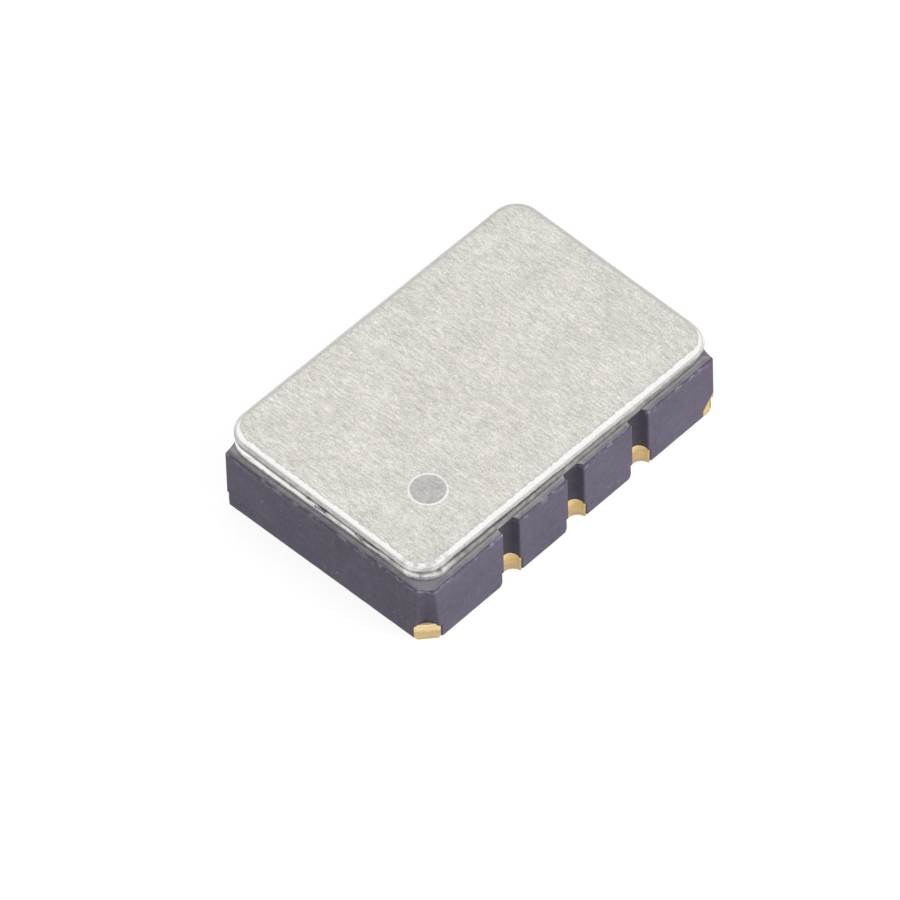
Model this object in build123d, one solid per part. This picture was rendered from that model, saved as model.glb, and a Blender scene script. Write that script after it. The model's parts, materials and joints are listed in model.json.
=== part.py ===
"""Real-time clock module: a plated ceramic chip carrier with a welded metal lid.

Inside it a tuning-fork crystal is held over a clock die that is wired to the terminals.
Millimetres. The origin is the middle of the seating plane under the lands, +X runs along the
length away from terminal 1, +Y runs across and +Z runs up through the lid. The part is alike
on both sides of the XZ plane, apart from the lid, which sits a little askew on its ring, and the
orientation dot on it.
"""

import os
from math import atan2, degrees, hypot, sqrt

from build123d import *

# Ceramic body: a base layer, and on it a wall round one cavity with a shelf at the +X end.
BODY_LENGTH = 3.70
BODY_WIDTH = 2.50
BASE_LAYER = 0.165
WALL_HEIGHT = 0.505
WALL = 0.35
CAVITY_CORNER = 0.15
SHELF_LENGTH = 0.55
SHELF_HEIGHT = 0.28

# Castellations: half-round grooves on the long sides, wider in the plated base layer, and
# corners that are hollow above and cut straight in the base layer, further along than across.
SIDE_TERMINALS = 3
GROOVE_RADIUS = 0.098
NOTCH_RADIUS = 0.120
CORNER_RADIUS = 0.145
CORNER_ALONG = 0.190
CORNER_ACROSS = 0.165

# Terminals: plating outside and lands below it, set in from the body's sides. Leads and bond
# fingers on the base layer inside. In a notch the plating stops just short of the body's side.
PLATING = 0.015
PLATING_SETBACK = 0.012
LAND_LENGTH = 0.50
LAND_DEPTH = 0.60
LAND_INSET = 0.05
LEAD_THICKNESS = 0.012
LEAD_WIDTH = 0.10
FINGER_WIDTH = 0.13
FINGER_TO_CORNER = 0.04
FINGER_CLEARANCE = 0.13
SHELF_FINGER = 0.28
SHELF_LANE = 0.12

# Seal: a metal film on the ceramic rim, the ring brazed to it and the lid welded to the ring.
SEAL_FILM = 0.010
FILM_MARGIN = 0.015
RING_HEIGHT = 0.060
RING_END_LEDGE = 0.055
RING_SIDE_LEDGE = 0.060
RING_CORNER = 0.26
RING_EDGE = 0.020
RING_INSET = 0.05
LID_GROWTH = 0.005
LID_THICKNESS = 0.085
LID_CORNER = 0.25
LID_EDGE = 0.060
LID_OFFSET_ALONG = 0.030
LID_OFFSET_ACROSS = 0.018
LID_TURN_DEGREES = -0.8
DOT_DIAMETER = 0.33
DOT_DEPTH = 0.008
DOT_FROM_END = 0.722
DOT_FROM_SIDE = 0.638

# Clock die and the adhesive that holds it on the cavity floor.
DIE_WIDTH = 1.00
DIE_THICKNESS = 0.15
DIE_TO_SHELF = 0.60
DIE_TO_WALL = 0.45
DIE_GLUE = 0.015
DIE_GLUE_MARGIN = 0.03
PAD_INSET = 0.07
PAD_TO_CORNER = 0.25
END_PADS = 4
END_PAD_PITCH = 0.24

# Tuning-fork crystal, clamped by its base on two contacts on the shelf.
FORK_WIDTH = 0.50
FORK_THICKNESS = 0.10
FORK_END_GAP = 0.08
FORK_TIP_GAP = 0.62
FORK_BASE = 0.75
TINE_GAP = 0.12
TINE_GROOVE_TO_TIP = 0.65
TINE_GROOVE_WIDTH = 0.08
TINE_GROOVE_DEPTH = 0.03
NECK_DEPTH = 0.05
NECK_LENGTH = 0.09
NECK_FROM_ROOT = 0.12
CONTACT_SPACING = 0.30
CONTACT_LENGTH = 0.26
CONTACT_WIDTH = 0.20
POST_DIAMETER = 0.08
CRYSTAL_GLUE = 0.03
CRYSTAL_GLUE_DIAMETER = 0.16

# Bond wires: a ball on the die, a loop, and a stitch lying on the finger. There are many of
# them, so each has few flats round it and few bends along its loop.
WIRE_DIAMETER = 0.025
WIRE_FLATS = 8
BALL_DIAMETER = 0.065
BALL_HEIGHT = 0.015
LOOP_HEIGHT = 0.07
STITCH_LENGTH = 0.07
LOOP_SHARES = ((0, 0), (0, 0.55), (0.05, 0.86), (0.16, 1), (0.36, 0.92))

# How far a cut runs past the faces that it opens.
OVERRUN = 0.05

# Heights of the build, from the seat up.
BASE_TOP = PLATING + BASE_LAYER
SHELF_TOP = BASE_TOP + SHELF_HEIGHT
CERAMIC_TOP = BASE_TOP + WALL_HEIGHT
FINGER_TOP = BASE_TOP + LEAD_THICKNESS
DIE_TOP = BASE_TOP + DIE_GLUE + DIE_THICKNESS
FORK_BOTTOM = SHELF_TOP + LEAD_THICKNESS + CRYSTAL_GLUE
RING_BOTTOM = CERAMIC_TOP + SEAL_FILM
LID_BOTTOM = RING_BOTTOM + RING_HEIGHT
LID_TOP = LID_BOTTOM + LID_THICKNESS

# Lines of the plan. The lands of a row are evenly spaced, with the outer ones at the ends.
END = BODY_LENGTH / 2
SIDE = -BODY_WIDTH / 2
TERMINAL_PITCH = (BODY_LENGTH - LAND_LENGTH) / (SIDE_TERMINALS + 1)
CAVITY_END = END - WALL
CAVITY_SIDE = SIDE + WALL
SHELF_FACE = CAVITY_END - SHELF_LENGTH
DIE_END = SHELF_FACE - DIE_TO_SHELF
DIE_LENGTH = DIE_END + CAVITY_END - DIE_TO_WALL
DIE_MIDDLE = DIE_END - DIE_LENGTH / 2
RING_LENGTH = BODY_LENGTH - 2 * RING_END_LEDGE
RING_WIDTH = BODY_WIDTH - 2 * RING_SIDE_LEDGE
LID_LENGTH = RING_LENGTH + 2 * LID_GROWTH
LID_WIDTH = RING_WIDTH + 2 * LID_GROWTH
CONTACT_X = CAVITY_END - SHELF_LENGTH / 2

BASE_ALIGN = (Align.CENTER, Align.CENTER, Align.MIN)


def spread(count, pitch):
    """Places of a row with the given pitch, centred on zero."""
    return [(i - (count - 1) / 2) * pitch for i in range(count)]


def raised(sketch, bottom, top):
    """The sketch as a solid between two heights."""
    return extrude(Pos(0, 0, bottom) * sketch, amount=top - bottom)


def outline(points):
    """A closed face through the points."""
    return make_face(Polyline(*points, close=True))


def rectangle(x_low, x_high, y_low, y_high):
    """A rectangle given by its four sides."""
    middle = Pos((x_low + x_high) / 2, (y_low + y_high) / 2)
    return middle * Rectangle(x_high - x_low, y_high - y_low)


def strip(start, end, width):
    """A flat track with square ends, half its width past each of the two points."""
    dx, dy = end[0] - start[0], end[1] - start[1]
    middle = Pos((start[0] + end[0]) / 2, (start[1] + end[1]) / 2)
    return middle * Rot(0, 0, degrees(atan2(dy, dx))) * Rectangle(hypot(dx, dy) + width, width)


def other_side(part):
    """The part's twin across the XZ plane."""
    return mirror(part, about=Plane.XZ)


# Ceramic body

NOTCH_PLACES = spread(SIDE_TERMINALS, TERMINAL_PITCH)


def side_circles(radius):
    """Circles at the castellations of both long sides."""
    return [Pos(x, y) * Circle(radius) for x in NOTCH_PLACES for y in (SIDE, -SIDE)]


def corner_circles(radius):
    """Circles at the four corners."""
    return [Pos(x, y) * Circle(radius) for x in (-END, END) for y in (SIDE, -SIDE)]


def corner_cuts():
    """Triangles that cut the four corners of the base layer straight."""
    cuts = []
    for x, inward_x in ((-END, CORNER_ALONG), (END, -CORNER_ALONG)):
        for y, inward_y in ((SIDE, CORNER_ACROSS), (-SIDE, -CORNER_ACROSS)):
            cuts.append(outline([(x, y), (x + inward_x, y), (x, y + inward_y)]))
    return cuts


def cavity_plan(growth=0):
    """The cavity's outline, grown all round."""
    length = 2 * (CAVITY_END + growth)
    width = -2 * (CAVITY_SIDE - growth)
    return RectangleRounded(length, width, CAVITY_CORNER + growth)


def make_ceramic(conductors):
    """One fired piece, with room for the leads and posts that run inside it."""
    body = Rectangle(BODY_LENGTH, BODY_WIDTH)
    base = body - side_circles(NOTCH_RADIUS) - corner_cuts()
    wall = body - side_circles(GROOVE_RADIUS) - corner_circles(CORNER_RADIUS)
    shelf = rectangle(SHELF_FACE, END, SIDE, -SIDE)
    ceramic = raised(base, PLATING, BASE_TOP)
    ceramic += raised(wall - (cavity_plan() - shelf), BASE_TOP, SHELF_TOP)
    ceramic += raised(wall - cavity_plan(), SHELF_TOP, CERAMIC_TOP)
    return ceramic - conductors


# Terminals

def notch_plating(x):
    """The land and notch wall of a terminal on the long side at -Y."""
    bore = Pos(x, SIDE) * Circle(NOTCH_RADIUS - PLATING)
    half_land = LAND_LENGTH / 2
    land = rectangle(x - half_land, x + half_land, SIDE + LAND_INSET, SIDE + LAND_DEPTH)
    inside = rectangle(x - NOTCH_RADIUS, x + NOTCH_RADIUS, SIDE + PLATING_SETBACK, SIDE + NOTCH_RADIUS)
    wall = inside & Pos(x, SIDE) * Circle(NOTCH_RADIUS)
    return raised(land + wall - bore, 0, PLATING) + raised(wall - bore, 0, BASE_TOP)


def corner_triangle(share):
    """The corner that the straight cut takes off, as a share of its full size."""
    return outline([(0, 0), (CORNER_ALONG * share, 0), (0, CORNER_ACROSS * share)])


def corner_plating():
    """The land, cut face and ledge of the terminal at the -X, -Y corner."""
    inset = LAND_INSET
    cut_depth = CORNER_ALONG * CORNER_ACROSS / hypot(CORNER_ALONG, CORNER_ACROSS)
    outside = corner_triangle(1 - PLATING / cut_depth)
    skin = corner_triangle(1) - outside
    land = outline([
        (CORNER_ALONG * (1 - inset / CORNER_ACROSS), inset), (LAND_LENGTH, inset),
        (LAND_LENGTH, LAND_DEPTH), (inset, LAND_DEPTH),
        (inset, CORNER_ACROSS * (1 - inset / CORNER_ALONG)),
    ])
    ledge = Circle(CORNER_RADIUS) & rectangle(0, CORNER_RADIUS, 0, CORNER_RADIUS)
    plating = raised(land + skin, 0, PLATING) + raised(skin, 0, BASE_TOP)
    return Pos(-END, SIDE) * (plating + raised(ledge - outside, BASE_TOP, FINGER_TOP))


FINGER_PITCH = (DIE_LENGTH - 2 * FINGER_TO_CORNER) / SIDE_TERMINALS
FINGER_PLACES = [DIE_MIDDLE + x for x in spread(SIDE_TERMINALS + 1, FINGER_PITCH)]
FINGER_TIP = -(DIE_WIDTH / 2 + DIE_GLUE_MARGIN + FINGER_CLEARANCE)
SHELF_FINGER_TIP = SHELF_FACE - SHELF_FINGER
LANE = CAVITY_SIDE + SHELF_LANE
CORNER_START = CORNER_RADIUS / sqrt(2)


def side_finger(x):
    """A bond finger that comes out from under the long wall at -Y."""
    half = FINGER_WIDTH / 2
    return rectangle(x - half, x + half, CAVITY_SIDE - LEAD_WIDTH, FINGER_TIP)


def shelf_finger(y):
    """A bond finger that comes out from under the shelf."""
    half = FINGER_WIDTH / 2
    return rectangle(SHELF_FINGER_TIP, SHELF_FACE + LEAD_WIDTH, y - half, y + half)


def lead(*tracks):
    """Flat tracks on the base layer as one solid."""
    return raised(sum(tracks[1:], tracks[0]), BASE_TOP, FINGER_TOP)


def notch_terminal(x, finger_x):
    """A terminal on the long side at -Y, from its land to its bond finger."""
    half = LEAD_WIDTH / 2
    turn = (x, SIDE + NOTCH_RADIUS + half)
    stub = rectangle(x - half, x + half, SIDE + NOTCH_RADIUS - PLATING, turn[1])
    track = strip(turn, (finger_x, CAVITY_SIDE), LEAD_WIDTH)
    return notch_plating(x) + lead(stub, track, side_finger(finger_x))


def near_corner_terminal():
    """The terminal at the -X, -Y corner."""
    start = (-END + CORNER_START, SIDE + CORNER_START)
    track = strip(start, (FINGER_PLACES[0], CAVITY_SIDE), LEAD_WIDTH)
    return corner_plating() + lead(track, side_finger(FINGER_PLACES[0]))


def far_corner_terminal():
    """The terminal at the +X, -Y corner, whose lead passes under the shelf."""
    start = (END - CORNER_START, SIDE + CORNER_START)
    turn = (CAVITY_END, LANE)
    tracks = (strip(start, turn, LEAD_WIDTH), strip(turn, (SHELF_FACE, LANE), LEAD_WIDTH))
    return mirror(corner_plating(), about=Plane.YZ) + lead(*tracks, shelf_finger(LANE))


def make_terminals():
    """The terminals in order: 1 at the dot, along -Y, then back along +Y."""
    notches = [notch_terminal(x, f) for x, f in zip(NOTCH_PLACES, FINGER_PLACES[1:])]
    row = [near_corner_terminal(), *notches, far_corner_terminal()]
    return row + [other_side(terminal) for terminal in reversed(row)]


def make_crystal_contact():
    """The pad, post and finger that take one side of the crystal to the die."""
    y = -CONTACT_SPACING / 2
    track = strip((SHELF_FACE, y), (CONTACT_X, y), LEAD_WIDTH)
    post = Pos(CONTACT_X, y) * Circle(POST_DIAMETER / 2)
    pad = Pos(CONTACT_X, y) * Rectangle(CONTACT_LENGTH, CONTACT_WIDTH)
    contact = lead(track, shelf_finger(y)) + raised(post, BASE_TOP, SHELF_TOP)
    return contact + raised(pad, SHELF_TOP, SHELF_TOP + LEAD_THICKNESS)


# Seal and lid

def make_seal_film():
    """The film on the ceramic rim, clear of the grooves and corners."""
    film = Rectangle(BODY_LENGTH - 2 * FILM_MARGIN, BODY_WIDTH - 2 * FILM_MARGIN)
    film -= side_circles(GROOVE_RADIUS + FILM_MARGIN)
    film -= corner_circles(CORNER_RADIUS + FILM_MARGIN)
    return raised(film - cavity_plan(RING_INSET), CERAMIC_TOP, RING_BOTTOM)


def make_seal_ring():
    """The frame between the film and the lid, with a rounded shoulder."""
    plate = raised(RectangleRounded(RING_LENGTH, RING_WIDTH, RING_CORNER), RING_BOTTOM, LID_BOTTOM)
    plate = fillet(plate.faces().sort_by(Axis.Z)[-1].edges(), RING_EDGE)
    return plate - raised(cavity_plan(RING_INSET), RING_BOTTOM - OVERRUN, LID_BOTTOM + OVERRUN)


def make_lid():
    """The lid, with a rounded rim and a shallow dot by terminal 1, set down a little askew."""
    plate = raised(RectangleRounded(LID_LENGTH, LID_WIDTH, LID_CORNER), LID_BOTTOM, LID_TOP)
    plate = fillet(plate.faces().sort_by(Axis.Z)[-1].edges(), LID_EDGE)
    dot_x = -LID_LENGTH / 2 + DOT_FROM_END
    dot_y = -LID_WIDTH / 2 + DOT_FROM_SIDE
    dot = raised(Pos(dot_x, dot_y) * Circle(DOT_DIAMETER / 2), LID_TOP - DOT_DEPTH, LID_TOP + OVERRUN)
    return Pos(LID_OFFSET_ALONG, LID_OFFSET_ACROSS, 0) * Rot(0, 0, LID_TURN_DEGREES) * (plate - dot)


# Die, crystal and bond wires

def make_die():
    """The silicon chip."""
    return Pos(DIE_MIDDLE, 0, BASE_TOP + DIE_GLUE) * Box(
        DIE_LENGTH, DIE_WIDTH, DIE_THICKNESS, align=BASE_ALIGN
    )


def make_die_glue():
    """The adhesive under the chip, squeezed out a little all round."""
    return Pos(DIE_MIDDLE, 0, BASE_TOP) * Box(
        DIE_LENGTH + 2 * DIE_GLUE_MARGIN, DIE_WIDTH + 2 * DIE_GLUE_MARGIN, DIE_GLUE, align=BASE_ALIGN
    )


def make_crystal():
    """The quartz fork: a clamped base, a neck, and two grooved tines over the die."""
    base_end = CAVITY_END - FORK_END_GAP
    tip = -CAVITY_END + FORK_TIP_GAP
    root = base_end - FORK_BASE
    half = FORK_WIDTH / 2
    neck = root + NECK_FROM_ROOT
    plan = rectangle(tip, base_end, -half, half)
    plan -= rectangle(tip - OVERRUN, root, -TINE_GAP / 2, TINE_GAP / 2)
    plan -= Pos(root, 0) * Circle(TINE_GAP / 2)
    plan -= rectangle(neck, neck + NECK_LENGTH, -half - OVERRUN, -half + NECK_DEPTH)
    plan -= rectangle(neck, neck + NECK_LENGTH, half - NECK_DEPTH, half + OVERRUN)
    fork = raised(plan, FORK_BOTTOM, FORK_BOTTOM + FORK_THICKNESS)
    tine_middle = (half + TINE_GAP / 2) / 2
    groove_top = FORK_BOTTOM + FORK_THICKNESS
    for y in (-tine_middle, tine_middle):
        groove = rectangle(
            tip + TINE_GROOVE_TO_TIP, root, y - TINE_GROOVE_WIDTH / 2, y + TINE_GROOVE_WIDTH / 2
        )
        fork -= raised(groove, groove_top - TINE_GROOVE_DEPTH, groove_top + OVERRUN)
        fork -= raised(groove, FORK_BOTTOM - OVERRUN, FORK_BOTTOM + TINE_GROOVE_DEPTH)
    return fork


def make_crystal_glue():
    """A dot of conductive adhesive between a contact and the crystal."""
    dot = Pos(CONTACT_X, -CONTACT_SPACING / 2) * Circle(CRYSTAL_GLUE_DIAMETER / 2)
    return raised(dot, SHELF_TOP + LEAD_THICKNESS, FORK_BOTTOM)


def flat_sided(diameter):
    """A wire's section, turned so that one of its flats lies on the finger."""
    return RegularPolygon(diameter / 2, WIRE_FLATS, major_radius=False, rotation=180 / WIRE_FLATS)


def bond_wire(pad, stitch):
    """A wire from a ball at the pad to a stitch that ends at the given place on a finger."""
    dx, dy = stitch[0] - pad[0], stitch[1] - pad[1]
    span = hypot(dx, dy)
    ball_top = DIE_TOP + BALL_HEIGHT
    low = FINGER_TOP + WIRE_DIAMETER / 2
    loop = [(along * span, 0, ball_top + up * LOOP_HEIGHT) for along, up in LOOP_SHARES]
    path = Polyline(*loop, (span - STITCH_LENGTH, 0, low), (span, 0, low))
    wire = sweep(Pos(0, 0, ball_top) * flat_sided(WIRE_DIAMETER), path=path, transition=Transition.RIGHT)
    ball = raised(flat_sided(BALL_DIAMETER), DIE_TOP, ball_top)
    return Pos(*pad) * Rot(0, 0, degrees(atan2(dy, dx))) * (ball + wire)


def make_bond_wires():
    """The wires in the order of the terminals, then the two of the crystal."""
    pad_side = -DIE_WIDTH / 2 + PAD_INSET
    pad_end = DIE_END - PAD_INSET
    pad_pitch = (DIE_LENGTH - 2 * PAD_TO_CORNER) / SIDE_TERMINALS
    side_stitch = (CAVITY_SIDE + FINGER_TIP) / 2
    end_stitch = (SHELF_FACE + SHELF_FINGER_TIP) / 2
    row = []
    for x, finger_x in zip(spread(SIDE_TERMINALS + 1, pad_pitch), FINGER_PLACES):
        row.append(bond_wire((DIE_MIDDLE + x, pad_side), (finger_x, side_stitch)))
    end_pads = [y for y in spread(END_PADS, END_PAD_PITCH) if y < 0]
    row.append(bond_wire((pad_end, end_pads[0]), (end_stitch, LANE)))
    crystal_wire = bond_wire((pad_end, end_pads[1]), (end_stitch, -CONTACT_SPACING / 2))
    around = row + [other_side(wire) for wire in reversed(row)]
    return around + [crystal_wire, other_side(crystal_wire)]


def numbered(name, parts):
    """The parts as named nodes, counted from one."""
    return {f"{name}_{i:02d}": part for i, part in enumerate(parts, start=1)}


def both_sides(name, part):
    """A part and its twin as named nodes."""
    return numbered(name, [part, other_side(part)])


def make_nodes():
    """Every piece of the module, by the name of its node."""
    terminals = make_terminals()
    contact = make_crystal_contact()
    conductors = terminals + [contact, other_side(contact)]
    return {
        "ceramic_body": make_ceramic(conductors),
        "seal_film": make_seal_film(),
        "seal_ring": make_seal_ring(),
        "lid": make_lid(),
        "clock_die": make_die(),
        "die_adhesive": make_die_glue(),
        "tuning_fork_crystal": make_crystal(),
        **numbered("terminal", terminals),
        **both_sides("crystal_contact", contact),
        **both_sides("crystal_adhesive", make_crystal_glue()),
        **numbered("bond_wire", make_bond_wires()),
    }


os.makedirs("parts", exist_ok=True)
for node, part in make_nodes().items():
    export_step(part, f"parts/{node}.step")
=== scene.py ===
"""Looks of the real-time clock module.

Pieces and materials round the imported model, with floor, light and camera. Lengths are in
millimetres where no comment says metres.
"""

import json
import math

import bmesh
import bpy
import numpy as np
from mathutils import Matrix, Vector
from mathutils.geometry import tessellate_polygon


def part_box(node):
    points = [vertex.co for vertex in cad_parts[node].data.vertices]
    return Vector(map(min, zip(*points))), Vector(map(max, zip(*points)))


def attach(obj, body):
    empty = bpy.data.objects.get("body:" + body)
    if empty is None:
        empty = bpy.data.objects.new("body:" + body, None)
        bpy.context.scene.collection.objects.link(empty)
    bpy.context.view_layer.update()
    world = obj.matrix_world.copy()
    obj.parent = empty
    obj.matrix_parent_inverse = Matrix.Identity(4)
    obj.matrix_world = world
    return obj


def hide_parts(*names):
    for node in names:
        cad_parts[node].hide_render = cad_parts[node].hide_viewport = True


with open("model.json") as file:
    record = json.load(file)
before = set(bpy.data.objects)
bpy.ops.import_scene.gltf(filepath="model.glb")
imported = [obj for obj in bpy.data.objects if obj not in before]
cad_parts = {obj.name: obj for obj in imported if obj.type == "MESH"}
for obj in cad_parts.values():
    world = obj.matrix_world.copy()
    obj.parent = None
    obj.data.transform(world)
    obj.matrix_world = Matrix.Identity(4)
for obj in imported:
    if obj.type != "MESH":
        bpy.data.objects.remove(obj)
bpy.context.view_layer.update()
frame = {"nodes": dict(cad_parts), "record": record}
MM = 0.001

# Sizes as in the part's source. Places and outer sizes come from the frame.
NOTCH_RADIUS = 0.120
GROOVE_RADIUS = 0.098
CORNER_RADIUS = 0.145
CORNER_ALONG = 0.190
CORNER_ACROSS = 0.165
WALL = 0.35
CAVITY_CORNER = 0.15
SHELF_LENGTH = 0.55
SHELF_HEIGHT = 0.28
FILM_MARGIN = 0.015
RING_INSET = 0.05
RING_CORNER = 0.26
RING_EDGE = 0.020
LID_GROWTH = 0.005
LID_CORNER = 0.25
LID_EDGE = 0.060
LID_TURN = math.radians(-0.8)
DOT_DIAMETER = 0.33
DOT_DEPTH = 0.008
DOT_FROM_END = 0.722
DOT_FROM_SIDE = 0.638


def box_mm(node):
    """A node's lowest and highest corners in millimetres."""
    low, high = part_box(node)
    return np.array(low) / MM, np.array(high) / MM


BODY_LOW, BODY_HIGH = box_mm("ceramic_body")
LID_LOW, LID_HIGH = box_mm("lid")
RING_LOW, RING_HIGH = box_mm("seal_ring")
FILM_LOW, FILM_HIGH = box_mm("seal_film")
BASE_TOP = box_mm("die_adhesive")[0][2]
END, SIDE = BODY_HIGH[0], BODY_HIGH[1]
MOUNTS = {m["name"]: m["pos_m"] for m in frame["record"]["mounts"]}
NOTCH_PLACES = [MOUNTS[f"land_{i:02d}"][0] / MM for i in (2, 3, 4)]


# Meshes

SAME_POINT = 2e-6
SHARP_ANGLE, GOLD_SHARP_ANGLE = 35, 30


def close_up(mesh):
    """Merges points that coincide, drops flaps that this leaves, and turns faces outwards."""
    bm = bmesh.new()
    bm.from_mesh(mesh)
    bmesh.ops.remove_doubles(bm, verts=bm.verts, dist=SAME_POINT * MM)
    flaps = [f for f in bm.faces if any(e.is_boundary for e in f.edges)]
    bmesh.ops.delete(bm, geom=flaps, context="FACES")
    bmesh.ops.recalc_face_normals(bm, faces=bm.faces)
    bm.to_mesh(mesh)
    bm.free()


def place(name, points, faces, material, slot, nodes, sharp=SHARP_ANGLE, **marks):
    """A new piece, riding on the one body and standing for CAD nodes.

    Each of the marks is a number per point that the materials can read.
    """
    mesh = bpy.data.meshes.new(name)
    mesh.from_pydata([tuple(p) for p in np.asarray(points, float) * MM], [], faces)
    for mark, values in marks.items():
        layer = mesh.attributes.new(mark, "FLOAT", "POINT")
        layer.data.foreach_set("value", np.asarray(values, np.float32))
    close_up(mesh)
    mesh.polygons.foreach_set("use_smooth", [True] * len(mesh.polygons))
    mesh.set_sharp_from_angle(angle=math.radians(sharp))
    piece = bpy.data.objects.new(name, mesh)
    bpy.context.scene.collection.objects.link(piece)
    piece.data.materials.append(material)
    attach(piece, "root")
    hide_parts(*nodes)
    return piece


def loft(loops):
    """Points and quads through closed loops with equal counts."""
    count = len(loops[0])
    points = np.concatenate(loops)
    faces = []
    for k in range(len(loops) - 1):
        a, b = k * count, (k + 1) * count
        for i in range(count):
            j = (i + 1) % count
            faces.append((a + i, a + j, b + j, b + i))
    return points, faces


def at_height(plan, z):
    """A plan loop as points at one height, or at a height for each point."""
    return np.column_stack([plan, np.broadcast_to(z, len(plan))])


def arc(centre, radius, start, end, count):
    """Points on an arc, angles in degrees."""
    angles = np.radians(np.linspace(start, end, count))
    return np.column_stack([centre[0] + radius * np.cos(angles),
                            centre[1] + radius * np.sin(angles)])


def inward(plan):
    """Unit normals that point into an anticlockwise loop."""
    along = np.roll(plan, -1, 0) - np.roll(plan, 1, 0)
    along /= np.linalg.norm(along, axis=1)[:, None]
    return np.column_stack([-along[:, 1], along[:, 0]])


def ripple(count, waves, seed):
    """A closed row of smooth random numbers, about one high either way. More waves are finer."""
    spread = np.random.RandomState(seed).normal(size=count)
    kernel = np.exp(-0.5 * (np.fft.fftfreq(count, 1 / count) / waves) ** 2)
    row = np.fft.ifft(np.fft.fft(spread) * kernel).real
    return row / row.std()


def rounded_plan(half_x, half_y, radius, spacing, corner):
    """An anticlockwise rounded rectangle with a number of points on each corner."""
    x, y = half_x - radius, half_y - radius
    bits = []
    for sx, sy, start in ((1, -1, -90), (1, 1, 0), (-1, 1, 90), (-1, -1, 180)):
        bits.append(arc((sx * x, sy * y), radius, start, start + 90, corner))
    loop = []
    for k in range(4):
        loop.append(bits[k])
        a, b = bits[k][-1], bits[(k + 1) % 4][0]
        steps = max(2, int(np.linalg.norm(b - a) / spacing))
        loop.append(a + (b - a) * (np.arange(1, steps) / steps)[:, None])
    return np.concatenate(loop)


# The ceramic's outline. Each level has the same points in the same order, so levels can be joined.

EDGE = 0.016
BOTTOM_EDGE = 0.060
BOTTOM_RISE = 0.050
BEVEL = 0.010
FILLET_POINTS, ARC_POINTS, SPACING = 5, 17, 0.02


def notch_points(radius, edge, sink, second=None):
    """A notch in a face along +x with the material at +y. Its centre lies sink outside the face.

    Its two edges are rounded alike, or the one at +x by a second radius.
    """
    edges = (edge, second or edge)
    reach = [math.sqrt((radius + e) ** 2 - (e + sink) ** 2) for e in edges]
    turn = [math.degrees(math.atan2(e + sink, r)) for e, r in zip(edges, reach)]
    left = arc((-reach[0], edges[0]), edges[0], 270, 360 - turn[0], FILLET_POINTS)
    middle = arc((0, -sink), radius, 180 - turn[0], turn[1], ARC_POINTS)[1:-1]
    right = arc((reach[1], edges[1]), edges[1], 180 + turn[1], 270, FILLET_POINTS)
    return np.concatenate([left, middle, right])


def hollow_corner(radius, edge, sink):
    """A corner hollowed by a quarter circle, from the face at x 0 to the face at y 0."""
    reach = math.sqrt((radius + edge) ** 2 - (edge + sink) ** 2)
    turn = math.degrees(math.atan2(edge + sink, reach))
    first = arc((edge, reach - sink), edge, 180, 270 + turn, FILLET_POINTS)
    middle = arc((-sink, -sink), radius, 90 - turn, turn, ARC_POINTS)[1:-1]
    last = arc((reach - sink, edge), edge, 180 - turn, 270, FILLET_POINTS)
    return np.concatenate([first, middle, last])


def straight_corner(on_x, on_y, edge):
    """A corner cut straight, from a place up the face at x 0 to a place along the face at y 0."""
    slope = math.degrees(math.atan2(on_y, on_x))
    near_x = edge * math.tan(math.radians(slope / 2))
    near_y = edge * math.tan(math.radians(45 - slope / 2))
    first = arc((edge, on_y + near_y), edge, 180, 270 - slope, FILLET_POINTS)
    last = arc((on_x + near_x, edge), edge, 270 - slope, 270, FILLET_POINTS)
    share = np.linspace(0, 1, ARC_POINTS)[1:-1, None]
    middle = first[-1] + (last[0] - first[-1]) * share
    return np.concatenate([first, middle, last])


def body_plan(notch, corners, inset=0):
    """The body's outline, anticlockwise from the corner at -X, -Y. Corners come in that order."""
    long_half, short_half = END - inset, SIDE - inset
    bits = []
    for turn, half, depth in ((0, long_half, short_half), (1, short_half, long_half),
                              (2, long_half, short_half), (3, short_half, long_half)):
        corner, following = corners[turn], corners[(turn + 1) % 4]
        side = [corner + np.array([-half, -depth])]
        if turn % 2 == 0:
            places = NOTCH_PLACES if turn == 0 else [-x for x in reversed(NOTCH_PLACES)]
            side += [notch + np.array([x, -depth]) for x in places]
        side.append(np.array([[half - following[0][1], -depth]]))
        run = [side[0]]
        for k in range(len(side) - 1):
            a, b = side[k][-1], side[k + 1][0]
            steps = int(2 * (half + inset) / SPACING / (len(side) - 1) + 0.5)
            run.append(a + (b - a) * (np.arange(1, steps) / steps)[:, None])
            if k < len(side) - 2:
                run.append(side[k + 1])
        run = np.concatenate(run)
        c, s = ((1, 0), (0, 1), (-1, 0), (0, -1))[turn]
        bits.append(run @ np.array([[c, s], [-s, c]]))
    return np.concatenate(bits)


# Uneven corners: how far the cut reaches along the faces at the top of the near and far corner,
# where the hollow runs out, and how far the hollows of the other two are drawn along Y and X.
TOP_CUT = 0.105
RIGHT_DRAWN = np.array([0.235, 0.130]) / CORNER_RADIUS
LEFT_DRAWN = np.array([0.136, 0.260]) / CORNER_RADIUS


def wall_plan(inset=0, foot=False):
    """The wall's outline at its top or foot, set in from faces, grooves and corners alike."""
    hollow = hollow_corner(CORNER_RADIUS + inset, EDGE, inset)
    cut = TOP_CUT - (2 - math.sqrt(2)) * inset
    near = hollow if foot else straight_corner(cut, cut, EDGE)
    corners = (near, hollow * RIGHT_DRAWN, near, hollow * LEFT_DRAWN)
    return body_plan(notch_points(GROOVE_RADIUS + inset, EDGE, inset), corners, inset)


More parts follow.
